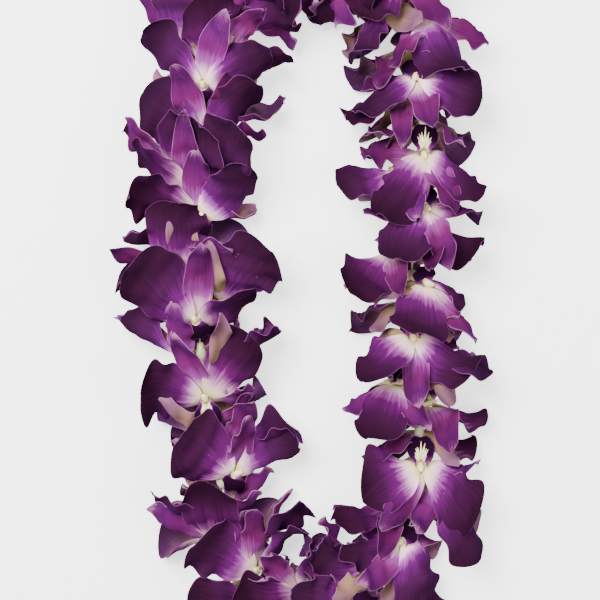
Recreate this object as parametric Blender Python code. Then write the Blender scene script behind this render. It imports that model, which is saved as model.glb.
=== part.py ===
"""Fresh flower lei: orchid blossoms threaded on a string that is knotted into a loop.

The lei lies on a surface as it would be laid out for sale. Everything is placed by three numbers: the
distance along the string's loop, and the place across it, outwards and up. Petals lie in a bent space:
their tips sweep the way the loop runs, clockwise from above, so the blossoms nest into each other like
paper cups. Metres, +Z up, origin under the middle of the lei, on the surface that it lies on.
"""

import math
import random

import bmesh
import bpy
from mathutils import Matrix, Vector

# The string's loop, clockwise from the nape: guide points of a closed, smooth spline.
LOOP_GUIDE = [
    (0.000, 0.224), (0.049, 0.207), (0.070, 0.159), (0.078, 0.095), (0.067, 0.027), (0.068, -0.040),
    (0.073, -0.098), (0.074, -0.152), (0.054, -0.204), (0.006, -0.227), (-0.042, -0.202),
    (-0.060, -0.152), (-0.067, -0.096), (-0.078, -0.035), (-0.078, 0.034), (-0.075, 0.103),
    (-0.070, 0.160), (-0.049, 0.207),
]
SPLINE_STEPS = 200  # samples of the spline between two guide points
STRING_HEIGHT = 0.026  # the string over the surface, before the lowest petals are pressed flat

SIDES = 6  # of a blossom's stalk: one for each sepal and petal, and a bare one
STRING_RADIUS = 0.0006
BORE_RADIUS = 0.0011  # the needle's hole through a blossom
GAP = 0.0003  # between the string's ends and the knot

# A blossom's stalk, front to back: distance along the string, radius.
STALK = [(-0.0050, 0.0026), (-0.0015, 0.0040), (0.0015, 0.0042), (0.0045, 0.0036), (0.0080, 0.0026)]
LIP_BAND = 0  # between the first two rings: the lip grows here
FRONT_BAND = 1  # the next band: the petals grow here
BACK_BAND = 2  # the band behind it: the sepals grow here

# Half widths, each at a share of the way from the stalk to the tip.
PETAL = [(0.15, 0.0052), (0.38, 0.0145), (0.64, 0.0195), (0.88, 0.0135)]
SEPAL = [(0.18, 0.0046), (0.48, 0.0082), (0.78, 0.0068)]
PETAL_LENGTH = 0.0440  # from the blossom's face to the tip
SEPAL_LENGTH = 0.0435
FACE_OFFSET = 0.0096  # a blossom's face is this far off the string, on the side that it shows to
# The tips round the face, in degrees from the upper sepal, by the side of the stalk that they grow on.
TEPALS = {
    0: ("sepal", 0.0), 1: ("petal", 70.0), 2: ("sepal", 130.0), 4: ("sepal", -130.0), 5: ("petal", -70.0),
}
# The lip stands off the face and turns back over the string: place along the string, reach, half width.
LIP = [(-0.0045, 0.0085, 0.0035), (-0.0080, 0.0120, 0.0062), (-0.0105, 0.0135, 0.0)]
OPEN_LIP = [
    (-0.0045, 0.0085, 0.0035), (-0.0090, 0.0118, 0.0050), (-0.0135, 0.0130, 0.0052), (-0.0170, 0.0132, 0.0),
]
# The four corners of a blade's section: its two edges, and its front and back ridge.
BLADE_EDGES = (0, 2)
BLADE_RIDGES = (1, 3)
THICKNESS = 0.0016  # measured along the string, so a slanting petal is about half as thick
SEPAL_SETBACK = 0.0046  # the sepals lie behind the petals
LEAN = 0.0022  # how far a tip may lean out of its whorl
LENGTH_SPREAD = 0.04  # how much one petal's length differs from the next one's
SIZE_SPREAD = 0.04  # how much one blossom's size differs from the next one's

# A blossom is bent like a trumpet: straight out from the string, then turned along the loop.
BEND_LENGTH = 0.022  # of a petal, from the string to where its turn ends
LEAN_SIDE = 14.0  # degrees that the petals turn on the lei's two sides
LEAN_INSIDE = 32.0  # and, where the loop bends most, on its inner side, which has less room
TIGHTEST_BEND = 0.048  # radius of the loop's tightest bend
BEND_SPAN = 0.003  # a bend is measured from this far before a place to this far after it
LEAN_TOP = 48.0  # on the lei's top
LEAN_UNDER = 66.0  # and on its underside, where its weight flattens it
LEAN_WAVES = [(5.0, 7), (4.0, 11)]  # degrees, waves round the loop
TILT = 0.75  # how far the blossoms' faces tip up: distance along the loop for each metre above the string
TILT_FROM = 0.006  # about where that starts
UPRIGHT = 0.80  # what is left of their height once they tip

PRESS_FROM = 0.010  # petals below this height are pressed by the lei's weight
PRESS_DEPTH = 0.009

# Where each blossom's face turns as the lei lies, in degrees round the string, from the nape on.
FACINGS = [
    140, 280, 55, 200, 30, 250, 100, 220, 270, 86, 200, 70, 320, 190, 55, 265, 92, 345, 170, 305, 270, 90,
    350, 190, 100, 310, 170, 60, 250, 110, 5, 92, 220, 20, 290, 130, 225, 270, 85, 200, 330, 86, 190, 30,
    280, 100, 80, 10, 95, 230, 90, 130, 340, 215, 80, 300, 160, 30,
]
OPEN_FACES = (10, 22, 39)  # blossoms whose neighbours leave room for the whole lip
ROLL_SPREAD = 22.0  # a blossom's upper sepal is about this near the side that it faces
SEED = 11

KNOT_ROOM = 0.012  # bare string left for the knot
# The knot's wound barrel: distance along the string from its middle, radius.
KNOT_BARREL = [(-0.0026, 0.0010), (-0.0016, 0.0019), (0.0, 0.0023), (0.0016, 0.0019), (0.0026, 0.0010)]
TAILS = [(1, 1, -0.0030), (2, 2, 0.0030)]  # band and side of the barrel, lean along the string
TAIL_LENGTH = 0.009

# Linear colour and roughness.
MATERIALS = {
    "orchid": ((0.105, 0.028, 0.110, 1.0), 0.50),
    "cotton": ((0.70, 0.66, 0.58, 1.0), 0.90),
}


def clear_scene():
    for item in list(bpy.data.objects):
        bpy.data.objects.remove(item, do_unlink=True)


def make_material(name):
    color, roughness = MATERIALS[name]
    material = bpy.data.materials.new(name)
    material.use_nodes = True
    shader = material.node_tree.nodes["Principled BSDF"]
    shader.inputs["Base Color"].default_value = color
    shader.inputs["Roughness"].default_value = roughness
    shader.inputs["Metallic"].default_value = 0.0
    return material


class Loop:
    """The string's loop, read by the distance along it from the nape."""

    def __init__(self, guide):
        self.points = []
        for i in range(len(guide)):
            corners = [Vector(guide[(i + k) % len(guide)]) for k in (-1, 0, 1, 2)]
            for step in range(SPLINE_STEPS):
                self.points.append(self.spline(corners, step / SPLINE_STEPS))
        self.distances = [0.0]
        for here, there in zip(self.points, self.points[1:] + self.points[:1]):
            self.distances.append(self.distances[-1] + (there - here).length)
        self.length = self.distances[-1]

    @staticmethod
    def spline(corners, t):
        """A uniform cubic B-spline, so the loop bends without a kink anywhere."""
        weights = (
            (1 - t) ** 3 / 6,
            (3 * t**3 - 6 * t**2 + 4) / 6,
            (-3 * t**3 + 3 * t**2 + 3 * t + 1) / 6,
            t**3 / 6,
        )
        return sum((corner * weight for corner, weight in zip(corners, weights)), Vector((0.0, 0.0)))

    def bending(self, distance):
        """How much the loop bends at a distance: 0 where it is straight, 1 where it bends most."""
        turn = (self.at(distance + BEND_SPAN)[1] - self.at(distance - BEND_SPAN)[1]).length
        return min(turn / (2 * BEND_SPAN) * TIGHTEST_BEND, 1.0)

    def at(self, distance):
        """The loop's point at a distance, and the way it runs there."""
        distance %= self.length
        low, high = 0, len(self.points)
        while high - low > 1:
            middle = (low + high) // 2
            if self.distances[middle] <= distance:
                low = middle
            else:
                high = middle
        before, here, there, after = (
            self.points[(low + k) % len(self.points)] for k in (-1, 0, 1, 2)
        )
        share = (distance - self.distances[low]) / (self.distances[low + 1] - self.distances[low])
        way = (there - before).lerp(after - here, share).normalized()
        return here.lerp(there, share), way


def turned(reach, degrees):
    """How much of a reach is kept, and how far it is swept along the loop, when its end turns by an angle."""
    bend_radius = BEND_LENGTH / math.radians(degrees)
    bent = min(abs(reach), BEND_LENGTH) / bend_radius
    straight = max(abs(reach) - BEND_LENGTH, 0.0)
    kept = bend_radius * math.sin(bent) + straight * math.cos(bent)
    return math.copysign(kept, reach), bend_radius * (1.0 - math.cos(bent)) + straight * math.sin(bent)


def pressed(height):
    """The height of a place once the lei's weight presses it, the lowest places the most."""
    if height >= PRESS_FROM:
        return height
    return PRESS_FROM - PRESS_DEPTH * (1.0 - math.exp(-(PRESS_FROM - height) / PRESS_DEPTH))


def beside(loop, distance, outward, up):
    """The point at a distance along the loop and a place across it, square to the string."""
    point, way = loop.at(distance)
    flat = point + Vector((-way.y, way.x)) * outward
    return Vector((flat.x, flat.y, STRING_HEIGHT + up))


def place(loop, distance, outward, up):
    """The same in the bent space that the petals lie in."""
    waves = sum(size * math.sin(math.tau * along * distance / loop.length) for size, along in LEAN_WAVES)
    side = LEAN_SIDE
    if outward < 0.0:
        side += (LEAN_INSIDE - LEAN_SIDE) * loop.bending(distance)
    level, swept_level = turned(outward, side - waves)
    height, swept_height = turned(up * UPRIGHT, (LEAN_TOP if up > 0.0 else LEAN_UNDER) + waves)
    tipped = TILT / 2 * (math.hypot(height, TILT_FROM) + height - TILT_FROM)
    spot = beside(loop, distance + swept_level + swept_height + tipped, level, height)
    return Vector((spot.x, spot.y, pressed(spot.z)))


def direction(angle):
    return Vector((math.cos(angle), math.sin(angle)))


def ring(shape, loop, distance, radius, roll):
    """A closed row of SIDES corners round the string."""
    ways = [direction(roll + math.tau * (side - 0.5) / SIDES) * radius for side in range(SIDES)]
    return [shape.verts.new(beside(loop, distance, way.x, way.y)) for way in ways]


def bridge(shape, first, second, skip=()):
    """Faces between two closed rows of corners, but for the skipped sides."""
    for side in range(len(first)):
        if side not in skip:
            after = (side + 1) % len(first)
            shape.faces.new((first[side], first[after], second[after], second[side]))


def root_of(rings, band, side):
    """The four corners of one side of a band of rings: front left, front right, back right, back left."""
    after = (side + 1) % SIDES
    return rings[band][side], rings[band][after], rings[band + 1][after], rings[band + 1][side]


def bridge_sections(shape, first, second):
    """Faces between two sections of a blade, its front and its back split along the same lines.

    Split differently, a thin blade would cut through itself where it twists.
    """
    for edge in BLADE_EDGES:
        for ridge in BLADE_RIDGES:
            shape.faces.new((first[edge], first[ridge], second[ridge]))
            shape.faces.new((first[edge], second[ridge], second[edge]))


def grow_blade(shape, root, sections, tip):
    """A thin blade from its root's four corners, through its sections, out to its tip."""
    # The root is a square and the first section a diamond, so triangles join them in a zigzag.
    first = sections[0]
    for side in range(4):
        here, there = root[side], root[(side + 1) % 4]
        edge, next_edge = first[(side + 1) % 4], first[(side + 2) % 4]
        shape.faces.new((here, there, edge))
        shape.faces.new((there, next_edge, edge))
    for section, following in zip(sections, sections[1:]):
        bridge_sections(shape, section, following)
    for side in range(4):
        shape.faces.new((sections[-1][side], sections[-1][(side + 1) % 4], tip))


def grow_tepal(shape, loop, root, middle, base, leaf):
    """A petal or a sepal, spread out flat from its base on the stalk to its tip."""
    way = (leaf["tip"] - base).normalized()
    side = Vector((-way.y, way.x))
    sections = []
    for share, half_width in leaf["outline"]:
        along = middle + leaf["offset"] + leaf["lean"] * share**2
        ridge = base.lerp(leaf["tip"], share)
        low, high = ridge - side * half_width, ridge + side * half_width
        sections.append([
            shape.verts.new(place(loop, along, low.x, low.y)),
            shape.verts.new(place(loop, along - THICKNESS / 2, ridge.x, ridge.y)),
            shape.verts.new(place(loop, along, high.x, high.y)),
            shape.verts.new(place(loop, along + THICKNESS / 2, ridge.x, ridge.y)),
        ])
    along = middle + leaf["offset"] + leaf["lean"]
    tip = shape.verts.new(place(loop, along, leaf["tip"].x, leaf["tip"].y))
    grow_blade(shape, root, sections, tip)


def grow_lip(shape, loop, root, middle, facing, outline):
    """The lip: out from the string, then back along it on the side that the blossom faces."""
    way = direction(facing)
    side = Vector((-way.y, way.x))
    half = THICKNESS / 2
    sections = []
    for along, reach, half_width in outline[:-1]:
        low, high = way * reach - side * half_width, way * reach + side * half_width
        under, over = way * (reach - half), way * (reach + half)
        sections.append([
            shape.verts.new(place(loop, middle + along, low.x, low.y)),
            shape.verts.new(place(loop, middle + along - half / 2, under.x, under.y)),
            shape.verts.new(place(loop, middle + along, high.x, high.y)),
            shape.verts.new(place(loop, middle + along + half / 2, over.x, over.y)),
        ])
    along, reach, _ = outline[-1]
    end = way * reach
    tip = shape.verts.new(place(loop, middle + along, end.x, end.y))
    grow_blade(shape, root, sections, tip)


def make_blossom(loop, middle, facing, roll, lip, draw):
    """A whole blossom: the stalk with the needle's hole, its petals and sepals, and its lip."""
    shape = bmesh.new()
    size = 1.0 + draw.uniform(-SIZE_SPREAD, SIZE_SPREAD)
    rings = [ring(shape, loop, middle + along, radius, roll) for along, radius in STALK]
    front_hole = ring(shape, loop, middle + STALK[0][0], BORE_RADIUS, roll)
    back_hole = ring(shape, loop, middle + STALK[-1][0], BORE_RADIUS, roll)
    bridge(shape, rings[0], front_hole)
    bridge(shape, front_hole, back_hole)
    bridge(shape, back_hole, rings[-1])
    whorls = {  # outline, length, place behind the petals, lean, band of the stalk
        "petal": (PETAL, PETAL_LENGTH, 0.0, -LEAN, FRONT_BAND),
        "sepal": (SEPAL, SEPAL_LENGTH, SEPAL_SETBACK, LEAN, BACK_BAND),
    }
    face = direction(facing) * FACE_OFFSET
    taken = {LIP_BAND: [0]}
    grow_lip(shape, loop, root_of(rings, LIP_BAND, 0), middle, facing, lip)
    for side, (kind, turn) in TEPALS.items():
        outline, length, offset, lean_most, band = whorls[kind]
        taken.setdefault(band, []).append(side)
        length *= size * (1.0 + draw.uniform(-LENGTH_SPREAD, LENGTH_SPREAD))
        base = direction(roll + math.tau * side / SIDES) * STALK[band][1]
        leaf = {
            "outline": outline,
            "tip": face + direction(roll + math.radians(turn)) * length,
            "offset": offset,
            "lean": lean_most * draw.random(),
        }
        grow_tepal(shape, loop, root_of(rings, band, side), middle, base, leaf)
    for band in range(len(rings) - 1):
        bridge(shape, rings[band], rings[band + 1], skip=taken.get(band, ()))
    return shape


def make_string(loop, stops):
    """The string: straight through each blossom's hole, both ends at the knot."""
    shape = bmesh.new()
    rows = [ring(shape, loop, stop, STRING_RADIUS, 0.0) for stop in stops]
    for first, second in zip(rows, rows[1:]):
        bridge(shape, first, second)
    shape.faces.new(rows[0])
    shape.faces.new(rows[-1])
    return shape


def make_knot(loop):
    """The wound knot, with the string's two cut tails standing out from it."""
    shape = bmesh.new()
    rings = [ring(shape, loop, along, radius, 0.0) for along, radius in KNOT_BARREL]
    shape.faces.new(rings[0])
    shape.faces.new(rings[-1])
    for band in range(len(rings) - 1):
        leaving = [(side, lean) for tail_band, side, lean in TAILS if tail_band == band]
        bridge(shape, rings[band], rings[band + 1], skip=[side for side, _ in leaving])
        for side, lean in leaving:
            reach = max(radius for _, radius in KNOT_BARREL) + TAIL_LENGTH
            way = direction(math.tau * side / SIDES) * reach
            across = Vector((-way.y, way.x)).normalized() * STRING_RADIUS
            corners = [(-1, way - across), (-1, way + across), (1, way + across), (1, way - across)]
            end = [
                shape.verts.new(place(loop, lean + along * STRING_RADIUS, corner.x, corner.y))
                for along, corner in corners
            ]
            bridge(shape, root_of(rings, band, side), end)
            shape.faces.new(end)
    return shape


def make_object(name, shape, material):
    """Turns a finished shape into a named object."""
    bmesh.ops.recalc_face_normals(shape, faces=shape.faces[:])
    mesh = bpy.data.meshes.new(name)
    shape.to_mesh(mesh)
    shape.free()
    mesh.materials.append(material)
    item = bpy.data.objects.new(name, mesh)
    bpy.context.collection.objects.link(item)
    return item


def centre(items):
    """Puts the origin under the middle of the lei, on the surface that it lies on."""
    corners = [vertex.co for item in items for vertex in item.data.vertices]
    low = Vector(min(corner[axis] for corner in corners) for axis in range(3))
    high = Vector(max(corner[axis] for corner in corners) for axis in range(3))
    shift = Matrix.Translation((-(low.x + high.x) / 2, -(low.y + high.y) / 2, -low.z))
    for item in items:
        item.data.transform(shift)


def main():
    clear_scene()
    orchid = make_material("orchid")
    cotton = make_material("cotton")
    loop = Loop(LOOP_GUIDE)
    draw = random.Random(SEED)
    pitch = (loop.length - KNOT_ROOM) / len(FACINGS)
    items = []
    stops = [KNOT_BARREL[-1][0] + GAP]
    for number, facing in enumerate(FACINGS, start=1):
        middle = KNOT_ROOM / 2 + (number - 0.5) * pitch
        roll = facing + ROLL_SPREAD * math.sin(2.4 * number)
        lip = OPEN_LIP if number in OPEN_FACES else LIP
        blossom = make_blossom(loop, middle, math.radians(facing), math.radians(roll), lip, draw)
        items.append(make_object(f"blossom_{number:02d}", blossom, orchid))
        stops += [middle + STALK[0][0], middle + STALK[-1][0]]
    stops.append(loop.length + KNOT_BARREL[0][0] - GAP)
    items.append(make_object("string", make_string(loop, stops), cotton))
    items.append(make_object("knot", make_knot(loop), cotton))
    centre(items)


if __name__ == "__main__":
    main()
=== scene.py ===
"""Fresh flower lei: the looks of its orchid blossoms, string and knot, and the stage that it lies on.

Every petal is laid out in the same bent space round the string that the solid model uses. A place in it
is a distance along the string's loop and a place in the plane across the string, outwards and up. The
space turns all petals along the loop, clockwise from above, so the blossoms nest like paper cups.
Lengths are metres unless a name says otherwise.
"""

import math

import bpy
import numpy as np
from bpy.props import FloatProperty, FloatVectorProperty, PointerProperty
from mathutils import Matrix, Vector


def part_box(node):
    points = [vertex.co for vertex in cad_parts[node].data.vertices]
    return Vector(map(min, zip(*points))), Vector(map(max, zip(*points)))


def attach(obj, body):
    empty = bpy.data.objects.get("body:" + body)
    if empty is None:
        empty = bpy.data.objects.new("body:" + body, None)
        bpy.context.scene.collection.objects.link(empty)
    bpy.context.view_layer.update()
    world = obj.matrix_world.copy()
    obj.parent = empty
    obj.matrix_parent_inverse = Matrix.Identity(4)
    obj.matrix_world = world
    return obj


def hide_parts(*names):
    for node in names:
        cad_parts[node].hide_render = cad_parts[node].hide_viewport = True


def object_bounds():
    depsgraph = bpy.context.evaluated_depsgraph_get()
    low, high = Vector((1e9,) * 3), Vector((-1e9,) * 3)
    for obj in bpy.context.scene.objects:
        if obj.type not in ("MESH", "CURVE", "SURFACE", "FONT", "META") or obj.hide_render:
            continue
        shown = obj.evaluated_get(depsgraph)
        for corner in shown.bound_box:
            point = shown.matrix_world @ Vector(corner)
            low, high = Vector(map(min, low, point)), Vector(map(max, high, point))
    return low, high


bl_info = {
    "name": "Fresh flower lei",
    "version": (1, 0, 0),
    "blender": (4, 5, 0),
    "location": "3D View > Sidebar > Lei",
    "description": "Makes an orchid lei's blossoms, string and knot, and the stage that it lies on",
    "category": "Object",
}

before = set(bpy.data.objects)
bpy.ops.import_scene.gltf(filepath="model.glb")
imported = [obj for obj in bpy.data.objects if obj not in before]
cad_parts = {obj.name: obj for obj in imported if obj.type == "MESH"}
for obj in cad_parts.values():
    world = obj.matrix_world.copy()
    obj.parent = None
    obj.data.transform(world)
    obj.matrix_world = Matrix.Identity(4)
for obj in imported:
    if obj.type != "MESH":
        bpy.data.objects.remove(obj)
CAD_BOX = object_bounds()
MM = 0.001

# The string's loop, clockwise from the nape: guide points of a closed, smooth spline.
LOOP_GUIDE = [
    (0.000, 0.224), (0.049, 0.207), (0.070, 0.159), (0.078, 0.095), (0.067, 0.027), (0.068, -0.040),
    (0.073, -0.098), (0.074, -0.152), (0.054, -0.204), (0.006, -0.227), (-0.042, -0.202),
    (-0.060, -0.152), (-0.067, -0.096), (-0.078, -0.035), (-0.078, 0.034), (-0.075, 0.103),
    (-0.070, 0.160), (-0.049, 0.207),
]
SPLINE_STEPS = 200  # samples of the spline between two guide points
STRING_HEIGHT = 0.026
KNOT_ROOM = 0.012  # bare string left for the knot

# Where each blossom's face turns as the lei lies, in degrees round the string, from the nape on.
FACINGS = [
    140, 280, 55, 200, 30, 250, 100, 220, 270, 86, 200, 70, 320, 190, 55, 265, 92, 345, 170, 305, 270, 90,
    350, 190, 100, 310, 170, 60, 250, 110, 5, 92, 220, 20, 290, 130, 225, 270, 85, 200, 330, 86, 190, 30,
    280, 100, 80, 10, 95, 230, 90, 130, 340, 215, 80, 300, 160, 30,
]
OPEN_FACES = (10, 22, 39)  # blossoms whose neighbours leave room for the whole lip
ROLL_SPREAD = 22.0  # degrees: a blossom's upper sepal is this near the side that it faces
ROLL_STEP = 2.4  # radians of the wave that turns it from one blossom to the next
SEED = 37

# A blossom is bent like a trumpet: straight out from the string, then turned along the loop.
BEND_LENGTH = 0.022
LEAN_SIDE = 14.0  # degrees that the petals turn on the lei's two sides
LEAN_INSIDE = 32.0  # and, where the loop bends most, on its inner side, which has less room
TIGHTEST_BEND = 0.048  # radius of the loop's tightest bend
BEND_SPAN = 0.003  # a bend is measured from this far before a place to this far after it
LEAN_TOP = 48.0  # on its top
LEAN_UNDER = 66.0  # and on its underside, where its weight flattens it
LEAN_WAVES = [(5.0, 7), (4.0, 11)]  # degrees, waves round the loop
TILT = 0.75  # how far blossoms' faces tip up: distance along the loop for each metre above the string
TILT_FROM = 0.006  # about where that starts
UPRIGHT = 0.80  # what is left of their height once they tip
PRESS_FROM = 0.010  # petals below this height are pressed by the lei's weight
PRESS_DEPTH = 0.009
CEILING = 0.054  # petals above this height lie over
CEILING_SPAN = 0.009  # and stay within this much of it

GROUND_GAP = 0.3 * MM  # petals keep this far off the surface that the lei lies on
FLAT_LOW, FLAT_HIGH = 0.0012, 0.009  # up to the first height petals lie flat, and from the second they don't

ROWS = 26  # of a petal's faces, from its base to its tip
COLUMNS = 14  # and across it
TEPALS = [  # petals and sepals: kind, degrees from the upper sepal
    ("sepal", 0.0), ("sepal", 130.0), ("sepal", -130.0), ("petal", 64.0), ("petal", -64.0),
]
FACE_OFFSET = (0.0180, 0.0120)  # how far off the string a blossom's face is, if it faces sideways or up
SWING = 0.0040  # how far along the string a blossom's leaves may tip forwards or back together
SIZE_SWING = 0.035  # one side's blossoms are larger than the mean by this share, and the other's smaller
CUPPED_SHARE = 0.28  # of the petals and sepals, whose tips turn forwards
TWISTED_SEPALS = 0.32  # of the lower sepals, which have turned over on their narrow base
SETBACK = {"petal": -0.0002, "sepal": 0.0022}  # how far a leaf starts behind the blossom's middle
LEAF_BASE = {"petal": 0.0026, "sepal": 0.0030}  # a leaf's half width where it is joined on
LEAF_RISE = {"petal": 0.80, "sepal": 0.62}  # the higher, the nearer its tip a leaf is broadest
SEPAL_FALL = 0.62  # the higher, the slimmer its tip
CREASE = {"petal": 1.2, "sepal": 1.0}  # millimetres deep, along a leaf's middle
CREASE_WIDTH = 1.9 * MM
FOLD_ROUNDING = 2 * MM

# Each leaf, that is petal or sepal, draws its own shape from these ranges.
RANGES = {
    "turn": (-15.0, 15.0),  # degrees off its place round the blossom
    "length": (-0.10, 0.05),  # shares added to its blossom's size
    "width": (-0.13, 0.08),
    "petal fall": (0.38, 0.62),  # the lower, the blunter its tip
    "outline waves": (1.2, 2.6),
    "outline depth": (0.02, 0.09),  # as a share of its width
    "bend": (-0.0045, 0.0045),  # sideways, in metres at its tip
    "lopsided": (-0.14, 0.14),  # share by which its halves differ from the mean
    "petal lean": (-0.0030, 0.0020),  # backwards, in metres at its tip
    "sepal lean": (-0.0015, 0.0030),
    "bulge": (-1.5, 3.0),  # millimetres, as are the curls, the ruffle and the rolled edge
    "twist": (-0.75, 0.75),  # slope across it at its tip
    "fold": (-0.95, 0.75),  # slope of either half
    "curl": (-9.0, 3.0),
    "cupped curl": (5.0, 12.0),
    "ruffle waves": (1.8, 3.6),
    "ruffle": (1.2, 4.6),
    "rolled edge": (-3.2, 1.6),
    "dent length": (0.010, 0.024),  # metres
    "dent": (0.3, 1.1),  # millimetres deep
    "colour run": (0.76, 1.08),  # the lower, the further its dark half reaches to its base
}
DENTS = 3  # waves of dents that cross in each leaf

LIP_ROWS = 22
LIP_COLUMNS = 14
LIP_RUN = 0.0115  # how far a lip reaches out in front where the next blossom's petals press on it
LIP_RUN_OPEN = 0.0195  # and where they leave it room
LIP_SPREAD = 0.06  # by which share lips differ in length from the mean
# In millimetres: a lip's half width at its neck, what its side lobes and its broad lobe add to that, and
# how high the side lobes stand.
LIP_NECK, LIP_SIDES, LIP_LOBE, LIP_RAISED = 2.0, 4.6, 7.2, 5.5
FRINGE = (9, 0.75)  # the hairs on a lip's keel, and how large they are
FRINGE_OPEN = (21, 1.55)  # and on an open face
HAIR_RADII = [1.3, 0.95, 0.15]  # millimetres, from base to tip
COLUMN_RADII = [1.5, 1.6, 1.8, 2.0, 2.2, 2.35, 2.35, 2.1, 1.2]  # millimetres, from base to tip
STALK_RINGS = [  # millimetres behind the blossom's middle, and radius, from mouth to mouth of the bore
    (-4.6, 1.1), (-4.4, 1.9), (-1.5, 3.0), (1.5, 3.3), (4.5, 2.7), (7.4, 2.1), (7.8, 1.7), (7.6, 1.1),
]
STALK_SIDES = 14

STRING_STEPS = 1400
STRING_SIDES = 12
PLIES = 3  # twisted into the string
PLY_DEPTH = 0.20  # how deep the grooves between them are, as a share of the string's radius
TWIST_PITCH = 0.0030  # along the string for one turn of its plies
KNOT_HALF = 0.0029  # the string's ends meet the knot this far from its middle
KNOT_TURNS = 3.5
KNOT_LENGTH = 4.2  # millimetres, of its coil
KNOT_REACH = 1.5 * MM  # from the string's middle line to the coil's
CORE_HALF = 2.6  # millimetres, of the string inside the coil
CORE_RADIUS = 0.9 * MM
TAILS = ((60.0, -1), (120.0, 1))  # degrees round the string, and to which side of the knot

FLOOR_SIZE = 6.0
LAMPS = [  # name, place, strength as a share of the key lamp's, size
    ("key_lamp", (-0.55, 0.50, 1.35), 1.0, 0.9),
    ("fill_lamp", (0.80, -0.45, 1.20), 0.30, 1.1),
]
LENS = 85.0  # millimetres
VIEW_SHIFT = (-0.002, -0.0195)  # from the lei's middle to the middle of the view

# The patterns of the materials, as repeats to the metre.
BLOTCHES = 90.0  # soft blotches on a petal, about 11 mm across, with finer ones in them
CELLS = 2000.0  # a petal's velvety cells, drawn at 0.5 mm because real ones are too fine to show
WAX_MOTTLE = 500.0  # 2 mm
STALK_MOTTLE = 300.0  # 3 mm
FIBRES = 2500.0  # cotton fibres, drawn at 0.4 mm because real ones are too fine to show
FLOOR_GRAIN = 900.0  # 1 mm
VEIN_STRETCH = (11.0, 1.3, 40.0)  # veins across a leaf's half width, along it and from leaf to leaf


def linear(hex_color):
    """An sRGB hex colour as the linear colour that a shader takes."""
    parts = [int(hex_color[k : k + 2], 16) / 255 for k in (1, 3, 5)]
    return tuple([p / 12.92 if p <= 0.04045 else ((p + 0.055) / 1.055) ** 2.4 for p in parts] + [1.0])


# ---------------------------------------- sizes and colours


class LeiSettings(bpy.types.PropertyGroup):
    """Sizes and colours of the blossoms and the string."""

    petal_length: FloatProperty(
        name="Petal length", description="From a blossom's centre to a petal's tip",
        default=0.0472, min=0.01, unit="LENGTH",
    )
    petal_width: FloatProperty(
        name="Petal width", description="Across a petal where it is broadest",
        default=0.0400, min=0.005, unit="LENGTH",
    )
    sepal_length: FloatProperty(
        name="Sepal length", description="From a blossom's centre to a sepal's tip",
        default=0.0445, min=0.01, unit="LENGTH",
    )
    sepal_width: FloatProperty(
        name="Sepal width", description="Across a sepal where it is broadest",
        default=0.0180, min=0.003, unit="LENGTH",
    )
    lip_length: FloatProperty(
        name="Lip length", description="From a blossom's centre to the end of its lip",
        default=0.023, min=0.005, unit="LENGTH",
    )
    flesh_thickness: FloatProperty(
        name="Petal thickness", description="Through a petal or a sepal",
        default=0.00055, min=0.0002, unit="LENGTH",
    )
    string_thickness: FloatProperty(
        name="String thickness", description="Across the string",
        default=0.0012, min=0.0005, unit="LENGTH",
    )
    deep_color: FloatVectorProperty(
        name="Petal tip", description="The dark violet of a petal's outer half",
        subtype="COLOR", size=4, min=0.0, max=1.0, default=linear("#260c20"),
    )
    bright_color: FloatVectorProperty(
        name="Petal middle", description="The bright violet between a petal's pale base and its dark tip",
        subtype="COLOR", size=4, min=0.0, max=1.0, default=linear("#511351"),
    )
    base_color: FloatVectorProperty(
        name="Petal base", description="The cream white in a blossom's centre",
        subtype="COLOR", size=4, min=0.0, max=1.0, default=linear("#e9d8ae"),
    )
    sepal_color: FloatVectorProperty(
        name="Sepal", description="The magenta of a sepal's front",
        subtype="COLOR", size=4, min=0.0, max=1.0, default=linear("#551848"),
    )
    back_color: FloatVectorProperty(
        name="Sepal back", description="The beige pink of a sepal's back",
        subtype="COLOR", size=4, min=0.0, max=1.0, default=linear("#7a5a50"),
    )
    string_color: FloatVectorProperty(
        name="String", description="Undyed cotton",
        subtype="COLOR", size=4, min=0.0, max=1.0, default=linear("#ebe4d4"),
    )


class StageSettings(bpy.types.PropertyGroup):
    """The floor, the lamps and the camera."""

    floor_color: FloatVectorProperty(
        name="Floor", description="A plain, matt white table",
        subtype="COLOR", size=4, min=0.0, max=1.0, default=linear("#f6f5f6"),
    )
    floor_glow: FloatProperty(
        name="Floor glow", description="How strongly the floor is lit from beneath", default=1.3, min=0.0,
    )
    view_width: FloatProperty(
        name="View width", description="How much of the floor the camera sees from side to side",
        default=0.402, min=0.05, unit="LENGTH",
    )
    key_power: FloatProperty(
        name="Key lamp", description="Strength of the large soft lamp", default=80.0, min=0.0,
    )
    fill_strength: FloatProperty(
        name="Fill light", description="Strength of the even light from all round", default=0.55, min=0.0,
    )


# ---------------------------------------- the string's loop and the space round it


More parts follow.
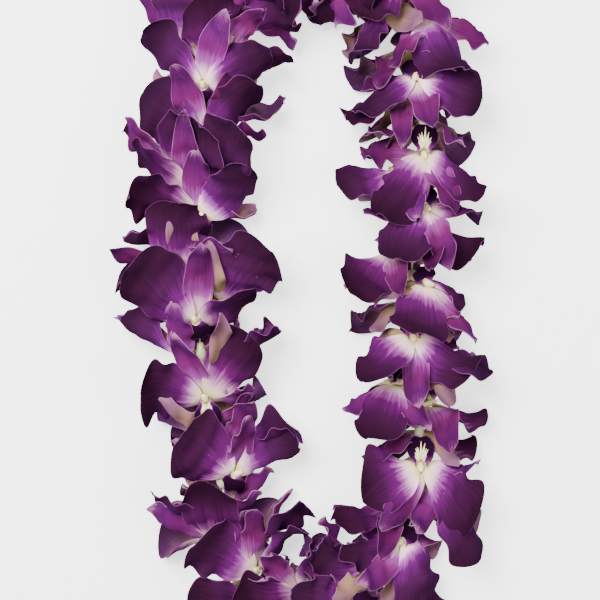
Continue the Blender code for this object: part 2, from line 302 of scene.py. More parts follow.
class Strand:
    """The string's loop, and the bent space round it that every petal is laid out in."""

    def __init__(self):
        guide = np.array(LOOP_GUIDE)
        share = np.arange(SPLINE_STEPS)[:, None] / SPLINE_STEPS
        corners = [np.roll(guide, -k, axis=0)[:, None, :] for k in (-1, 0, 1, 2)]
        weights = (
            (1 - share) ** 3 / 6,
            (3 * share**3 - 6 * share**2 + 4) / 6,
            (-3 * share**3 + 3 * share**2 + 3 * share + 1) / 6,
            share**3 / 6,
        )
        points = sum(corner * weight for corner, weight in zip(corners, weights)).reshape(-1, 2)
        steps = np.linalg.norm(np.roll(points, -1, axis=0) - points, axis=1)
        self.distances = np.concatenate([[0.0], np.cumsum(steps)])
        self.length = self.distances[-1]
        ways = np.roll(points, -1, axis=0) - np.roll(points, 1, axis=0)
        ways /= np.linalg.norm(ways, axis=1)[:, None]
        self.points = np.vstack([points, points[:1]])
        self.ways = np.vstack([ways, ways[:1]])
        low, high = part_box("string")
        middle = (np.array(low) + np.array(high)) / 2
        # The finished lei's origin is under its middle, so the loop moves to where the string's solid lies.
        self.shift = middle - np.array([*((points.min(0) + points.max(0)) / 2), STRING_HEIGHT])

    def at(self, distance):
        """The loop's points at some distances, and the way it runs there."""
        distance = np.mod(distance, self.length)
        point = [np.interp(distance, self.distances, self.points[:, axis]) for axis in (0, 1)]
        way = [np.interp(distance, self.distances, self.ways[:, axis]) for axis in (0, 1)]
        return np.stack(point, -1), np.stack(way, -1)

    def place(self, distance, outward, up):
        """Points at distances along the loop and places across it, once the space is bent."""
        distance, outward, up = np.broadcast_arrays(distance, outward, up)
        waves = sum(size * np.sin(math.tau * along * distance / self.length) for size, along in LEAN_WAVES)
        ways = [self.at(distance + span)[1] for span in (BEND_SPAN, -BEND_SPAN)]
        turn = np.linalg.norm(ways[0] - ways[1], axis=-1)
        bending = np.minimum(turn / (2 * BEND_SPAN) * TIGHTEST_BEND, 1.0)
        inside = LEAN_SIDE + (LEAN_INSIDE - LEAN_SIDE) * bending
        level, swept_level = turned(outward, np.where(outward < 0.0, inside, LEAN_SIDE) - waves)
        height, swept_height = turned(up * UPRIGHT, np.where(up > 0.0, LEAN_TOP, LEAN_UNDER) + waves)
        tipped = TILT / 2 * (np.hypot(height, TILT_FROM) + height - TILT_FROM)
        point, way = self.at(distance + swept_level + swept_height + tipped)
        flat = point + np.stack([-way[..., 1] * level, way[..., 0] * level], -1)
        height = pressed(STRING_HEIGHT + height)
        return np.concatenate([flat, height[..., None]], -1) + self.shift

    def beside(self, distance, outward, up):
        """Points square to the string, in space that isn't bent: for the string, its knot and the bores."""
        distance, outward, up = np.broadcast_arrays(distance, outward, up)
        point, way = self.at(distance)
        flat = point + np.stack([-way[..., 1] * outward, way[..., 0] * outward], -1)
        return np.concatenate([flat, (STRING_HEIGHT + up)[..., None]], -1) + self.shift


def turned(reach, degrees):
    """How much of a reach is kept, and how far it is swept along the loop, when it turns by an angle."""
    turn = np.radians(degrees)
    bend_radius = BEND_LENGTH / turn
    bent = np.minimum(np.abs(reach), BEND_LENGTH) / bend_radius
    straight = np.maximum(np.abs(reach) - BEND_LENGTH, 0.0)
    kept = bend_radius * np.sin(bent) + straight * np.cos(bent)
    return np.sign(reach) * kept, bend_radius * (1.0 - np.cos(bent)) + straight * np.sin(bent)


def under_ceiling(points):
    """Points with those near the lei's full height laid over, so that none stands above it."""
    over = np.maximum(points[..., 2] - CEILING, 0.0)
    laid = CEILING_SPAN * (1.0 - np.exp(-over / CEILING_SPAN))
    points[..., 2] = np.minimum(points[..., 2], CEILING) + laid
    return points


def pressed(height):
    """Heights once the lei's weight presses them, the lowest the most."""
    below = PRESS_FROM - np.minimum(height, PRESS_FROM)
    low = PRESS_FROM - PRESS_DEPTH * (1.0 - np.exp(-below / PRESS_DEPTH))
    return np.where(height >= PRESS_FROM, height, low)


# ---------------------------------------- meshes


class Shape:
    """Points, faces and marks of one piece, gathered sheet by sheet."""

    MARKS = ("along", "across", "edge_mm", "back", "tint")

    def __init__(self):
        self.points, self.faces, self.slots = [], [], []
        self.marks = {name: [] for name in self.MARKS}
        self.count = 0

    def add_grid(self, points, marks, slot, closed=False, ends=False):
        """Adds a grid of points as faces. A closed grid's columns run round, and ends caps both end rows."""
        rows, columns = points.shape[:2]
        index = self.count + np.arange(rows * columns).reshape(rows, columns)
        if closed:
            index = np.concatenate([index, index[:, :1]], axis=1)
        quads = np.stack([index[:-1, :-1], index[:-1, 1:], index[1:, 1:], index[1:, :-1]], -1)
        self.faces.extend(quads.reshape(-1, 4).tolist())
        made = (index.shape[0] - 1) * (index.shape[1] - 1)
        if ends:
            self.faces.append(index[0, :columns][::-1].tolist())
            self.faces.append(index[-1, :columns].tolist())
            made += 2
        self.slots.extend([slot] * made)
        self.points.append(points.reshape(-1, 3))
        for name in self.MARKS:
            values = np.broadcast_to(marks.get(name, 0.0), (rows, columns))
            self.marks[name].append(values.reshape(-1))
        self.count += rows * columns

    def add_leaf(self, front, back, marks, slot, twisted=False):
        """Adds a thin leaf: front, back and the rim between them. A twisted leaf's back faces forwards."""
        rows, columns = front.shape[:2]
        # Once round the leaf across its width: over the front, and back along the back.
        points = np.concatenate([front, back[:, ::-1]], axis=1)
        around = {}
        for name in self.MARKS:
            values = np.broadcast_to(marks.get(name, 0.0), (rows, columns))
            around[name] = np.concatenate([values, values[:, ::-1]], axis=1)
        sides = [np.zeros((rows, columns)), np.ones((rows, columns))]
        around["back"] = np.concatenate(sides[::-1] if twisted else sides, axis=1)
        first = self.count
        self.add_grid(points, around, slot, closed=True)
        for row, order in ((0, 1), (rows - 1, -1)):
            here = first + row * 2 * columns + np.arange(2 * columns)
            for k in range(columns - 1):
                corners = [here[k], here[2 * columns - 1 - k], here[2 * columns - 2 - k], here[k + 1]]
                self.faces.append([int(corner) for corner in corners[::order]])
                self.slots.append(slot)

    def build(self, name, materials):
        """The finished object, smooth, with its marks as attributes."""
        mesh = bpy.data.meshes.new(name)
        mesh.from_pydata(np.concatenate(self.points).tolist(), [], self.faces)
        for material in materials:
            mesh.materials.append(material)
        mesh.polygons.foreach_set("material_index", self.slots)
        for mark, values in self.marks.items():
            attribute = mesh.attributes.new(mark, "FLOAT", "POINT")
            attribute.data.foreach_set("value", np.concatenate(values).astype(np.float32))
        mesh.shade_smooth()
        mesh.update()
        item = bpy.data.objects.new(name, mesh)
        bpy.context.collection.objects.link(item)
        return item


def surface_normals(points):
    """Unit normals of a grid of points, from its rows and columns."""
    along = np.gradient(points, axis=0)
    across = np.gradient(points, axis=1)
    normals = np.cross(along, across)
    return normals / np.maximum(np.linalg.norm(normals, axis=-1, keepdims=True), 1e-12)


def direction(angle):
    """The unit vector at an angle in the plane across the string, outwards and up."""
    return np.array([math.cos(angle), math.sin(angle)])


def smooth_step(low, high, value):
    """0 up to the low value and 1 from the high one on, with a smooth rise between them."""
    share = np.clip((value - low) / (high - low), 0.0, 1.0)
    return share * share * (3 - 2 * share)


def hump(middle, spread, value):
    """1 at the middle, falling off smoothly to either side."""
    return np.exp(-(((value - middle) / spread) ** 2))


# ---------------------------------------- one blossom


class Bloom:
    """Where one blossom sits on the string, which way it is turned, and what its leaves share."""

    def __init__(self, strand, number, draw):
        pitch = (strand.length - KNOT_ROOM) / len(FACINGS)
        self.middle = KNOT_ROOM / 2 + (number - 0.5) * pitch
        self.facing = math.radians(FACINGS[number - 1])
        self.roll = self.facing + math.radians(ROLL_SPREAD * math.sin(ROLL_STEP * number))
        self.face = direction(self.facing) * FACE_OFFSET  # by both offsets, each in its own direction
        self.swing = draw.uniform(-SWING, SWING)
        self.size = 1.0 - SIZE_SWING * math.sin(math.tau * self.middle / strand.length)
        self.is_open = number in OPEN_FACES


def varied(draw, name):
    """A leaf's own value, out of its range."""
    return draw.uniform(*RANGES[name])


def leaf_grid():
    """Shares along a leaf, finer towards its tip, and shares across it, finer towards its edges."""
    along = 1.0 - (1.0 - np.linspace(0.0, 1.0, ROWS + 1)) ** 1.5
    across = np.sin(np.linspace(-math.pi / 2, math.pi / 2, COLUMNS + 1))
    return (along * 0.997)[:, None], across[None, :]


def leaf_outline(along, half_width, rise, fall, base_width):
    """Half width along a leaf: narrow at its base, broadest where rise and fall balance, then round."""
    widest = rise / (rise + fall)
    most = widest**rise * (1 - widest) ** fall
    return half_width * along**rise * (1 - along) ** fall / most + base_width * (1 - along) ** 3


def tepal_outline(kind, half_width, along, across, draw):
    """Half widths over a petal or a sepal, uneven along both edges."""
    fall = varied(draw, "petal fall") if kind == "petal" else SEPAL_FALL
    outline = leaf_outline(along, half_width, LEAF_RISE[kind], fall, LEAF_BASE[kind])
    waves = varied(draw, "outline waves")
    for edge in (-1, 1):
        wave = np.sin(math.tau * waves * along + draw.uniform(0, math.tau))
        wobble = wave * smooth_step(0.25, 0.6, along)
        outline = outline * (1.0 + varied(draw, "outline depth") * wobble * (across * edge > 0))
    return outline


def tepal_relief(kind, outline, reach, along, across, draw):
    """How far a petal or a sepal stands off the bent space's skin, positive to its front."""
    offset = across * outline
    arch = np.sin(math.pi * np.clip(along * 1.1, 0, 1))
    bulge = varied(draw, "bulge") * MM * (1 - across**2) * arch
    crease = -CREASE[kind] * MM * hump(0.0, CREASE_WIDTH, offset) * smooth_step(0.02, 0.3, along)
    crease = crease * (1 - smooth_step(0.75, 1.0, along))
    twist = varied(draw, "twist") * offset * smooth_step(0.1, 0.8, along)
    wedge = np.sqrt(offset**2 + FOLD_ROUNDING**2) - FOLD_ROUNDING
    fold = varied(draw, "fold") * wedge * smooth_step(0.15, 0.5, along)
    curl = varied(draw, "curl")
    if draw.random() < CUPPED_SHARE:
        curl = varied(draw, "cupped curl")
    curl = curl * MM * smooth_step(0.55, 1.05, along) ** 1.5
    waves = varied(draw, "ruffle waves")
    ruffle = np.zeros_like(offset)
    for edge in (-1, 1):
        phase = draw.uniform(0, math.tau)
        wave = np.sin(math.tau * waves * along + phase) * smooth_step(0.15, 0.6, along)
        ruffle += varied(draw, "ruffle") * MM * wave * np.maximum(across * edge, 0.0) ** 2.2
    rolled = varied(draw, "rolled edge") * MM * np.abs(across) ** 4 * smooth_step(0.2, 0.6, along)
    dents = np.zeros_like(offset)
    for _ in range(DENTS):
        heading = draw.uniform(0.0, math.pi)
        path = reach * along * math.cos(heading) + offset * math.sin(heading)
        path = path / varied(draw, "dent length")
        dents += varied(draw, "dent") * MM * np.sin(math.tau * path + draw.uniform(0.0, math.tau))
    dents = dents * smooth_step(0.15, 0.5, along)
    return bulge + crease + twist + fold + curl + ruffle + rolled + dents


def add_tepal(shape, strand, bloom, kind, turn, draw, settings):
    """A petal or a sepal, laid out flat across the string, bent with the space round it, then shaped."""
    petal = kind == "petal"
    angle = bloom.roll + math.radians(turn + varied(draw, "turn"))
    length = settings.petal_length if petal else settings.sepal_length
    length *= bloom.size + varied(draw, "length")
    width = settings.petal_width if petal else settings.sepal_width
    half_width = width / 2 * (bloom.size + varied(draw, "width"))
    along, across = leaf_grid()
    outline = tepal_outline(kind, half_width, along, across, draw)
    way = direction(angle)
    side = np.array([-way[1], way[0]])
    root = bloom.face * 0.80 + way * 0.0015
    bend = varied(draw, "bend")
    lopsided = varied(draw, "lopsided")
    reach = length - np.linalg.norm(root - bloom.face)
    plane = (
        root
        + (reach * along)[..., None] * way
        + (bend * along**2 + outline * across * (1.0 + lopsided * np.sign(across)))[..., None] * side
    )
    lean = bloom.swing + varied(draw, f"{kind} lean")
    distance = bloom.middle + SETBACK[kind] + lean * along**2
    skin = strand.place(distance, plane[..., 0], plane[..., 1])
    stand = tepal_relief(kind, outline, reach, along, across, draw)
    stand = stand * smooth_step(FLAT_LOW, FLAT_HIGH, skin[..., 2])

    normals = surface_normals(skin)
    _, run = strand.at(bloom.middle)
    outwards = np.array([-run[0] - run[1] * way[0], -run[1] + run[0] * way[0], way[1]])
    if (normals[ROWS // 2, COLUMNS // 2] * outwards).sum() < 0:
        normals = -normals
    sheets = []
    for side_offset in (settings.flesh_thickness / 2, -settings.flesh_thickness / 2):
        sheet = under_ceiling(skin + normals * (stand + side_offset)[..., None])
        sheet[..., 2] = np.maximum(sheet[..., 2], GROUND_GAP)
        sheets.append(sheet)
    marks = {
        "along": along ** varied(draw, "colour run"),
        "across": across,
        "edge_mm": np.minimum((1 - np.abs(across)) * outline, (1 - along) * length * 0.8) / MM,
        "tint": draw.random(),
    }
    twisted = draw.random() < TWISTED_SEPALS and not petal and turn != 0.0
    shape.add_leaf(*sheets, marks, 0 if petal else 1, twisted)


def add_lip(shape, strand, bloom, draw, settings):
    """The lip: a throat between two raised side lobes, then a broad dark lobe, with a fringed cream keel."""
    length = settings.lip_length * (1.0 + draw.uniform(-LIP_SPREAD, LIP_SPREAD))
    along = np.linspace(0.0, 1.0, LIP_ROWS + 1)[:, None]
    across = np.sin(np.linspace(-math.pi / 2, math.pi / 2, LIP_COLUMNS + 1))[None, :]
    lobe = np.sqrt(np.maximum(1 - ((along - 0.68) / 0.33) ** 2, 0.0))
    outline = (LIP_NECK + LIP_SIDES * hump(0.24, 0.14, along) + LIP_LOBE * lobe) * MM
    raised = LIP_RAISED * MM * hump(0.22, 0.17, along) * np.abs(across) ** 1.8
    ruffle = 1.1 * MM * np.sin(math.tau * 2.4 * along + 5 * np.abs(across) + draw.uniform(0, 6)) * across**4
    outward = np.linalg.norm(bloom.face) * 0.55 + length * 0.30 * np.sin(along * 2.5) + raised
    outward = outward + ruffle * smooth_step(0.4, 0.7, along)
    outward = outward - 2.0 * MM * across**2 * smooth_step(0.5, 0.8, along)
    way = direction(bloom.facing)
    side = np.array([-way[1], way[0]])
    narrowing = 1 - 0.45 * raised / (6.0 * MM)
    plane = outward[..., None] * way + (outline * across * narrowing)[..., None] * side
    run = LIP_RUN_OPEN if bloom.is_open else LIP_RUN
    skin = strand.place(bloom.middle - 0.001 - run * along, plane[..., 0], plane[..., 1])
    normals = surface_normals(skin)
    centre = strand.place(bloom.middle, *(bloom.face * 2.0))
    root = strand.place(bloom.middle, *(bloom.face * 0.2))
    if (normals[12, LIP_COLUMNS // 2] * (centre - root)).sum() < 0:
        normals = -normals
    thick = settings.flesh_thickness * 0.5
    edge = np.minimum((1 - np.abs(across)) * outline, (1 - along) * length) / MM
    marks = {"along": along, "across": across, "edge_mm": edge, "tint": draw.random()}
    shape.add_leaf(skin + normals * thick, skin - normals * thick, marks, 2)
    add_fringe(shape, skin, normals, FRINGE_OPEN if bloom.is_open else FRINGE, draw)


def add_fringe(shape, skin, normals, fringe, draw):
    """The keel's fringe: fleshy hairs that fan out over the lip's dark lobe."""
    hairs, stretch = fringe
    middle = LIP_COLUMNS // 2
    for number in range(hairs):
        spread = 2.0 * number / (hairs - 1) - 1.0
        start = int(round(4 + 2 * (1 - abs(spread))))
        column = middle + int(round(1.6 * spread))
        end_column = int(np.clip(middle + round(4.2 * spread), 1, LIP_COLUMNS - 1))
        base = skin[start, column]
        end = skin[min(start + 11, LIP_ROWS), end_column]
        lift = normals[start, column]
        share = (1.0 - 0.55 * abs(spread) ** 0.8) * (0.80 + 0.30 * draw.random()) * stretch
        tip = base + (end - base) * share + lift * (0.4 + 1.2 * draw.random()) * stretch * MM
        crest = base + (tip - base) * 0.5 + lift * 1.1 * stretch * MM
        add_tube(shape, [base, crest, tip], [radius * MM for radius in HAIR_RADII], 6, 3)


def add_tube(shape, path, radii, sides, slot):
    """A round tube along a few points, closed at both ends."""
    path = np.array(path, float)
    radii = np.array(radii, float)
    ways = np.gradient(path, axis=0)
    ways /= np.linalg.norm(ways, axis=1)[:, None]
    first = np.cross(ways, [0.31, 0.17, 0.93])
    first /= np.linalg.norm(first, axis=1)[:, None]
    second = np.cross(ways, first)
    angle = np.arange(sides) / sides * math.tau
    ring = first[:, None, :] * np.cos(angle)[None, :, None]
    ring = ring + second[:, None, :] * np.sin(angle)[None, :, None]
    points = path[:, None, :] + ring * radii[:, None, None]
    along = np.linspace(0, 1, len(path))[:, None]
    shape.add_grid(points, {"along": along}, slot, closed=True, ends=True)


def add_column(shape, strand, bloom):
    """The waxy column in the blossom's centre, with its rounded cap."""
    share = np.linspace(0.0, 1.0, len(COLUMN_RADII))
    depth = np.linalg.norm(bloom.face)
    way = bloom.face / depth
    outward = depth * 0.3 + (depth * 0.7 + 3.6 * MM) * share
    distance = bloom.middle + 0.5 * MM - 3.4 * MM * share**1.6
    path = strand.place(distance, outward * way[0], outward * way[1])
    add_tube(shape, path, np.array(COLUMN_RADII) * MM, 14, 3)
    cap_way = (path[-1] - path[-3]) / np.linalg.norm(path[-1] - path[-3])
    height = np.linspace(0, 1, 7)
    cap = path[-1] + np.outer(height * 2.0 * MM - 0.9 * MM, cap_way)
    cap_radii = np.sqrt(np.maximum(1 - (height * 1.9 - 0.93) ** 2, 0.02)) * 1.6 * MM
    add_tube(shape, cap, cap_radii, 12, 3)


def add_stalk(shape, strand, bloom, draw):
    """The blossom's short fleshy stalk, pierced by the string."""
    # The first ring comes again at the end, so that the skin closes through the bore.
    rings = np.array([*STALK_RINGS, STALK_RINGS[0]]) * MM
    along, radius = rings[:, :1], rings[:, 1:]
    angle = np.arange(STALK_SIDES) / STALK_SIDES * math.tau
    lobed = radius * (1 + 0.06 * np.cos(6 * angle) * (radius > 2 * MM))
    points = strand.beside(bloom.middle + along, lobed * np.cos(angle), lobed * np.sin(angle))
    share = np.linspace(0, 1, len(rings))[:, None]
    shape.add_grid(points, {"along": share, "tint": draw.random()}, 4, closed=True)


def make_blossom(strand, number, materials, draw, settings):
    """One blossom: sepals behind, petals, the lip and the column in front, and the pierced stalk."""
    bloom = Bloom(strand, number, draw)
    shape = Shape()
    for kind, turn in TEPALS:
        add_tepal(shape, strand, bloom, kind, turn, draw, settings)
    add_lip(shape, strand, bloom, draw, settings)
    add_column(shape, strand, bloom)
    add_stalk(shape, strand, bloom, draw)
    return shape.build(f"orchid_{number:02d}", materials)


# ---------------------------------------- materials


def add_node(tree, kind, inputs=None, stops=None, **settings):
    """Adds a node, sets its properties, and sets or links its sockets."""
    made = tree.nodes.new(kind)
    for name, value in settings.items():
        setattr(made, name, value)
    for key, value in (inputs or {}).items():
        if isinstance(value, bpy.types.NodeSocket):
            tree.links.new(value, made.inputs[key])
        else:
            made.inputs[key].default_value = value
    if stops:
        ramp = made.color_ramp.elements
        while len(ramp) < len(stops):
            ramp.new(1.0)
        for element, (position, color) in zip(ramp, stops):
            element.position = position
            element.color = color
    return made


def new_material(name, inputs):
    """A material with its shader's values: its node tree, and the shader, already linked to the output."""
    material = bpy.data.materials.new(name)
    material.use_nodes = True
    tree = material.node_tree
    tree.nodes.clear()
    shader = add_node(tree, "ShaderNodeBsdfPrincipled", inputs)
    add_node(tree, "ShaderNodeOutputMaterial", {"Surface": shader.outputs["BSDF"]})
    return material, tree, shader


def flesh_material(name, front_stops, back_stops, rim_color, rim_mm, vein_depth):
    """Living petal flesh. Light sinks a little way into it, and its velvety cells scatter the rest.

    Colour runs from the pale base to the dark tip and breaks up into fine veins that fan out with the
    outline. The rim is pale, because there the flesh thins out to clear cells without pigment.
    """
    material, tree, shader = new_material(name, {
        "Roughness": 0.42, "IOR": 1.42, "Specular IOR Level": 0.0,
        "Sheen Weight": 0.16, "Sheen Roughness": 0.35, "Sheen Tint": linear("#5c2a86"),
        "Subsurface Weight": 0.06, "Subsurface Radius": (1.0, 0.5, 1.0), "Subsurface Scale": 0.0008,
    })
    along, across, edge, back, tint = (
        add_node(tree, "ShaderNodeAttribute", attribute_name=mark).outputs["Fac"] for mark in Shape.MARKS
    )
    place = add_node(tree, "ShaderNodeTexCoord").outputs["Object"]

    # Veins: noise stretched along the leaf, so that it reads as fine lines from base to tip.
    fan = add_node(tree, "ShaderNodeCombineXYZ", {"X": across, "Y": along, "Z": tint}).outputs[0]
    stretched = add_node(
        tree, "ShaderNodeVectorMath", {0: fan, 1: VEIN_STRETCH}, operation="MULTIPLY"
    ).outputs[0]
    veins = add_node(
        tree, "ShaderNodeTexNoise", {"Vector": stretched, "Scale": 1.0, "Detail": 3.0}
    ).outputs[0]
    blotches = add_node(
        tree, "ShaderNodeTexNoise", {"Vector": place, "Scale": BLOTCHES, "Detail": 2.0}
    ).outputs[0]

    # The share along the leaf, moved by veins, blotches and the leaf's own tint, picks the colour.
    vein_shift = add_node(
        tree, "ShaderNodeMath", {0: veins, 1: 0.30, 2: -0.15}, operation="MULTIPLY_ADD"
    ).outputs[0]
    blotch_shift = add_node(
        tree, "ShaderNodeMath", {0: blotches, 1: 0.22, 2: vein_shift}, operation="MULTIPLY_ADD"
    ).outputs[0]
    tint_shift = add_node(
        tree, "ShaderNodeMath", {0: tint, 1: 0.16, 2: blotch_shift}, operation="MULTIPLY_ADD"
    ).outputs[0]
    moved = add_node(tree, "ShaderNodeMath", {0: tint_shift, 1: -0.19}, operation="ADD").outputs[0]
    # The base itself stays pale on every leaf, so the shift fades out towards it.
    held = add_node(
        tree, "ShaderNodeMath", {0: along, 1: 2.5}, operation="MULTIPLY", use_clamp=True
    ).outputs[0]
    share = add_node(
        tree, "ShaderNodeMath", {0: moved, 1: held, 2: along}, operation="MULTIPLY_ADD"
    ).outputs[0]
    front_color = add_node(tree, "ShaderNodeValToRGB", {"Fac": share}, stops=front_stops).outputs[0]
    back_color = add_node(tree, "ShaderNodeValToRGB", {"Fac": share}, stops=back_stops).outputs[0]
    sided = add_node(
        tree, "ShaderNodeMix", {"Factor": back, 6: front_color, 7: back_color}, data_type="RGBA"
    ).outputs[2]
    rim = add_node(
        tree, "ShaderNodeMapRange", {"Value": edge, "From Min": rim_mm, "From Max": 0.1, "To Max": 0.8}
    ).outputs[0]
    rimmed = add_node(
        tree, "ShaderNodeMix", {"Factor": rim, 6: sided, 7: rim_color}, data_type="RGBA"
    ).outputs[2]
    # Leaves and blotches differ in how light they are, and leaves in how red.
    whole = add_node(
        tree, "ShaderNodeMath", {0: tint, 1: 0.55, 2: 0.42}, operation="MULTIPLY_ADD"
    ).outputs[0]
    value = add_node(
        tree, "ShaderNodeMath", {0: blotches, 1: 0.60, 2: whole}, operation="MULTIPLY_ADD"
    ).outputs[0]
    hue = add_node(
        tree, "ShaderNodeMath", {0: tint, 1: -0.035, 2: 0.512}, operation="MULTIPLY_ADD"
    ).outputs[0]
    final = add_node(
        tree, "ShaderNodeHueSaturation", {"Hue": hue, "Value": value, "Color": rimmed}
    ).outputs[0]
    tree.links.new(final, shader.inputs["Base Color"])

    # Velvety cells over the raised veins break up what little shine there is.
    cells = add_node(tree, "ShaderNodeTexVoronoi", {"Vector": place, "Scale": CELLS}).outputs["Distance"]
    relief = add_node(
        tree, "ShaderNodeMath", {0: cells, 1: 0.25, 2: veins}, operation="MULTIPLY_ADD"
    ).outputs[0]
    bump = add_node(
        tree, "ShaderNodeBump", {"Strength": vein_depth, "Distance": 0.0006, "Height": relief}
    ).outputs[0]
    tree.links.new(bump, shader.inputs["Normal"])
    return material


def chosen(stops, settings):
    """A ramp's stops with their colours: each is a hex colour or the name of a setting."""
    return [
        (position, linear(color) if color.startswith("#") else tuple(getattr(settings, color)))
        for position, color in stops
    ]


def petal_material(settings):
    """Broad violet petals: cream base, bright violet middle, dark velvety outer half."""
    front = [
        (0.03, "#cdb67c"), (0.09, "base_color"), (0.17, "#dea8c2"), (0.27, "#8c4788"),
        (0.38, "bright_color"), (0.58, "#341031"), (0.84, "deep_color"), (1.00, "#1e091b"),
    ]
    back = [(0.00, "base_color"), (0.22, "#8e7562"), (0.48, "#634058"), (0.75, "#421f42"), (1.00, "#311433")]
    stops = chosen(front, settings), chosen(back, settings)
    return flesh_material("violet_orchid_petal", *stops, linear("#6e3868"), rim_mm=0.36, vein_depth=0.35)


def sepal_material(settings):
    """Slim magenta sepals with a pale tip; their backs are beige pink, because they closed the bud."""
    front = [
        (0.00, "base_color"), (0.16, "#d2a2b4"), (0.31, "#7f3a7a"), (0.52, "sepal_color"), (0.84, "#3c0e3c"),
        (0.96, "#4e1d4a"), (1.00, "#7c4c6c"),
    ]
    back = [(0.00, "#b5a368"), (0.30, "#8a7452"), (0.60, "back_color"), (0.85, "#633f56"), (1.00, "#7a5562")]
    stops = chosen(front, settings), chosen(back, settings)
    return flesh_material("magenta_orchid_sepal", *stops, linear("#8d5a83"), rim_mm=0.40, vein_depth=0.40)


def lip_material(settings):
    """The lip: pale throat, magenta side lobes and an almost black velvet lobe."""
    front = [
        (0.00, "base_color"), (0.12, "#cdae92"), (0.24, "#873a80"), (0.36, "#480d4b"), (0.50, "#1f061f"),
        (1.00, "#170416"),
    ]
    back = [(0.00, "base_color"), (0.25, "#9a6c84"), (0.50, "#481c45"), (1.00, "#260a2a")]
    stops = chosen(front, settings), chosen(back, settings)
    return flesh_material("velvet_orchid_lip", *stops, linear("#6c3570"), rim_mm=0.28, vein_depth=0.35)


def wax_material():
    """Waxy cream flesh of the column and the fringe: light sinks in, and the skin shines softly."""
    material, tree, shader = new_material("waxy_orchid_column", {
        "Roughness": 0.35,
        "Subsurface Weight": 0.35, "Subsurface Radius": (1.0, 0.8, 0.4), "Subsurface Scale": 0.0015,
    })
    place = add_node(tree, "ShaderNodeTexCoord").outputs["Object"]
    mottle = add_node(
        tree, "ShaderNodeTexNoise", {"Vector": place, "Scale": WAX_MOTTLE, "Detail": 2.0}
    ).outputs[0]
    stops = [(0.30, linear("#cfc07e")), (0.52, linear("#ddd09a")), (0.75, linear("#eae2bf"))]
    color = add_node(tree, "ShaderNodeValToRGB", {"Fac": mottle}, stops=stops).outputs[0]
    tree.links.new(color, shader.inputs["Base Color"])
    bump = add_node(
        tree, "ShaderNodeBump", {"Strength": 0.15, "Distance": 0.0003, "Height": mottle}
    ).outputs[0]
    tree.links.new(bump, shader.inputs["Normal"])
    return material


def stalk_material():
    """Smooth green-cream flesh of the pierced stalk, flushed with purple towards its cut end."""
    material, tree, shader = new_material("green_orchid_stalk", {"Roughness": 0.45})
    along = add_node(tree, "ShaderNodeAttribute", attribute_name="along").outputs["Fac"]
    place = add_node(tree, "ShaderNodeTexCoord").outputs["Object"]
    mottle = add_node(
        tree, "ShaderNodeTexNoise", {"Vector": place, "Scale": STALK_MOTTLE, "Detail": 3.0}
    ).outputs[0]
    share = add_node(
        tree, "ShaderNodeMath", {0: mottle, 1: 0.3, 2: along}, operation="MULTIPLY_ADD"
    ).outputs[0]
    stops = [(0.20, linear("#cfd0a4")), (0.70, linear("#b9b489")), (1.00, linear("#8d5f7c"))]
    color = add_node(tree, "ShaderNodeValToRGB", {"Fac": share}, stops=stops).outputs[0]
    tree.links.new(color, shader.inputs["Base Color"])
    bump = add_node(
        tree, "ShaderNodeBump", {"Strength": 0.2, "Distance": 0.0003, "Height": mottle}
    ).outputs[0]
    tree.links.new(bump, shader.inputs["Normal"])
    return material


def cotton_material(settings):
    """Spun cotton: matt and fuzzy, mottled by its fine fibres, with a soft sheen."""
    material, tree, shader = new_material("spun_cotton", {"Roughness": 0.9, "Sheen Weight": 0.3})
    place = add_node(tree, "ShaderNodeTexCoord").outputs["Object"]
    fibres = add_node(
        tree, "ShaderNodeTexNoise", {"Vector": place, "Scale": FIBRES, "Detail": 3.0}
    ).outputs[0]
    stops = chosen([(0.30, "#b9ad96"), (0.60, "string_color")], settings)
    color = add_node(tree, "ShaderNodeValToRGB", {"Fac": fibres}, stops=stops).outputs[0]
    tree.links.new(color, shader.inputs["Base Color"])
    bump = add_node(
        tree, "ShaderNodeBump", {"Strength": 0.5, "Distance": 0.0002, "Height": fibres}
    ).outputs[0]
    tree.links.new(bump, shader.inputs["Normal"])
    return material


# ---------------------------------------- operators


class LEI_OT_blossoms(bpy.types.Operator):
    """Make all the blossoms on the string"""

    bl_idname = "lei.blossoms"
    bl_label = "Make Blossoms"

    def execute(self, context):
        settings = context.scene.lei
        strand = Strand()
        materials = [
            petal_material(settings), sepal_material(settings), lip_material(settings),
            wax_material(), stalk_material(),
        ]
        for number in range(1, len(FACINGS) + 1):
            draw = np.random.default_rng(SEED * 1000 + number)
            blossom = make_blossom(strand, number, materials, draw, settings)
            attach(blossom, "root")
            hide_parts(f"blossom_{number:02d}")
        return {"FINISHED"}


class LEI_OT_string(bpy.types.Operator):
    """Make the twisted cotton string through all the blossoms"""

    bl_idname = "lei.string"
    bl_label = "Make String"

    def execute(self, context):
        settings = context.scene.lei
        strand = Strand()
        radius = settings.string_thickness / 2
        along = np.linspace(KNOT_HALF, strand.length - KNOT_HALF, STRING_STEPS)[:, None]
        angle = np.arange(STRING_SIDES) / STRING_SIDES * math.tau
        lay = np.abs(np.cos(PLIES / 2 * (angle - math.tau * along / TWIST_PITCH)))
        thick = radius * (1.0 - PLY_DEPTH + PLY_DEPTH * lay)
        points = strand.beside(along, thick * np.cos(angle), thick * np.sin(angle))
        shape = Shape()
        shape.add_grid(points, {}, 0, closed=True, ends=True)
        string = shape.build("cotton_string", [cotton_material(settings)])
        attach(string, "root")
        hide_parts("string")
        return {"FINISHED"}


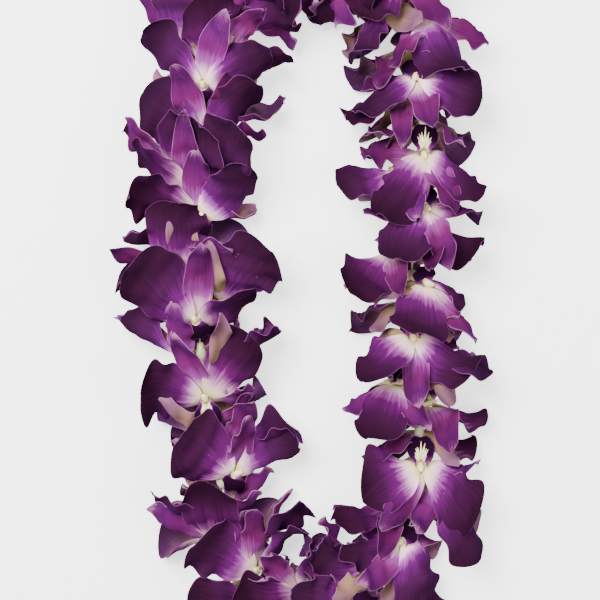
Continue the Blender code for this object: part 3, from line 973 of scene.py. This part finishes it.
class LEI_OT_knot(bpy.types.Operator):
    """Make the knot that closes the loop, with its two cut tails"""

    bl_idname = "lei.knot"
    bl_label = "Make Knot"

    def execute(self, context):
        settings = context.scene.lei
        strand = Strand()
        radius = settings.string_thickness / 2
        share = np.linspace(0.0, 1.0, 140)
        wind = KNOT_TURNS * math.tau * share
        distance = (share - 0.5) * KNOT_LENGTH * MM
        shape = Shape()
        coil = strand.beside(distance, KNOT_REACH * np.cos(wind), KNOT_REACH * np.sin(wind))
        add_tube(shape, coil, np.full(len(coil), radius), 8, 0)
        core = strand.beside(np.linspace(-CORE_HALF, CORE_HALF, 9) * MM, 0.0, 0.0)
        add_tube(shape, core, np.full(len(core), CORE_RADIUS), 8, 0)
        for tail_angle, side in TAILS:
            along = np.linspace(0, 1, 24)
            way = direction(math.radians(tail_angle))
            length = (1.2 + 9.0 * along) * MM
            wave = 0.9 * MM * np.sin(along * 3.0)
            tail = strand.place(
                side * 3.0 * MM * smooth_step(0.0, 0.5, along),
                length * way[0] + wave * way[1],
                length * way[1] - wave * way[0],
            )
            # Cut ends fray out a little.
            tail_radii = radius * (1.0 + 0.35 * smooth_step(0.85, 1.0, along))
            add_tube(shape, tail, tail_radii, 10, 0)
        knot = shape.build("string_knot", [cotton_material(settings)])
        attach(knot, "root")
        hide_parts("knot")
        return {"FINISHED"}


class LEI_OT_stage(bpy.types.Operator):
    """Make the floor, the lamps and the camera"""

    bl_idname = "lei.stage"
    bl_label = "Make Stage"

    def execute(self, context):
        settings = context.scene.lei_stage
        bpy.ops.mesh.primitive_plane_add(size=FLOOR_SIZE, location=(0.0, 0.0, 0.0))
        floor = context.object
        floor.name = "white_table"
        # Lit from beneath a little, like a light table, which keeps the lei's shadow soft.
        material, tree, shader = new_material("matt_white_laminate", {
            "Base Color": tuple(settings.floor_color), "Roughness": 0.8,
            "Emission Color": (1.0, 1.0, 1.0, 1.0), "Emission Strength": settings.floor_glow,
        })
        place = add_node(tree, "ShaderNodeTexCoord").outputs["Object"]
        grain = add_node(tree, "ShaderNodeTexNoise", {"Vector": place, "Scale": FLOOR_GRAIN}).outputs[0]
        bump = add_node(
            tree, "ShaderNodeBump", {"Strength": 0.05, "Distance": 0.0002, "Height": grain}
        ).outputs[0]
        tree.links.new(bump, shader.inputs["Normal"])
        floor.data.materials.append(material)

        for name, place, share, size in LAMPS:
            lamp = bpy.data.lights.new(name, "AREA")
            lamp.energy = settings.key_power * share
            lamp.size = size
            item = bpy.data.objects.new(name, lamp)
            item.location = place
            x, y, z = place
            # Turned to shine on the lei's middle.
            item.rotation_euler = (math.atan2(math.hypot(x, y), z), 0.0, math.atan2(-x, y) + math.pi)
            context.collection.objects.link(item)

        world = bpy.data.worlds.new("studio")
        world.use_nodes = True
        light = world.node_tree.nodes["Background"].inputs
        light["Color"].default_value = (1.0, 1.0, 1.0, 1.0)
        light["Strength"].default_value = settings.fill_strength
        context.scene.world = world

        camera_data = bpy.data.cameras.new("camera")
        camera_data.lens = LENS
        camera = bpy.data.objects.new("camera", camera_data)
        low, high = CAD_BOX
        seen_from = settings.view_width * camera_data.lens / camera_data.sensor_width
        middle_y = (low[1] + high[1]) / 2
        camera.location = (VIEW_SHIFT[0], middle_y + VIEW_SHIFT[1], high[2] * 0.5 + seen_from)
        context.collection.objects.link(camera)
        context.scene.camera = camera
        return {"FINISHED"}


class LEI_PT_panel(bpy.types.Panel):
    """Sizes, colours and the steps that make the lei"""

    bl_idname = "LEI_PT_panel"
    bl_label = "Flower Lei"
    bl_space_type = "VIEW_3D"
    bl_region_type = "UI"
    bl_category = "Lei"

    def draw(self, context):
        layout = self.layout
        for settings in (context.scene.lei, context.scene.lei_stage):
            for name in settings.__annotations__:
                layout.prop(settings, name)
        for operator in OPERATORS:
            layout.operator(operator.bl_idname)


OPERATORS = (LEI_OT_stage, LEI_OT_string, LEI_OT_knot, LEI_OT_blossoms)
CLASSES = (LeiSettings, StageSettings, *OPERATORS, LEI_PT_panel)


def register():
    for item in CLASSES:
        bpy.utils.register_class(item)
    bpy.types.Scene.lei = PointerProperty(type=LeiSettings)
    bpy.types.Scene.lei_stage = PointerProperty(type=StageSettings)


def unregister():
    del bpy.types.Scene.lei_stage
    del bpy.types.Scene.lei
    for item in reversed(CLASSES):
        bpy.utils.unregister_class(item)


def main():
    register()
    bpy.ops.lei.stage()
    bpy.ops.lei.string()
    bpy.ops.lei.knot()
    bpy.ops.lei.blossoms()


if __name__ == "__main__":
    main()
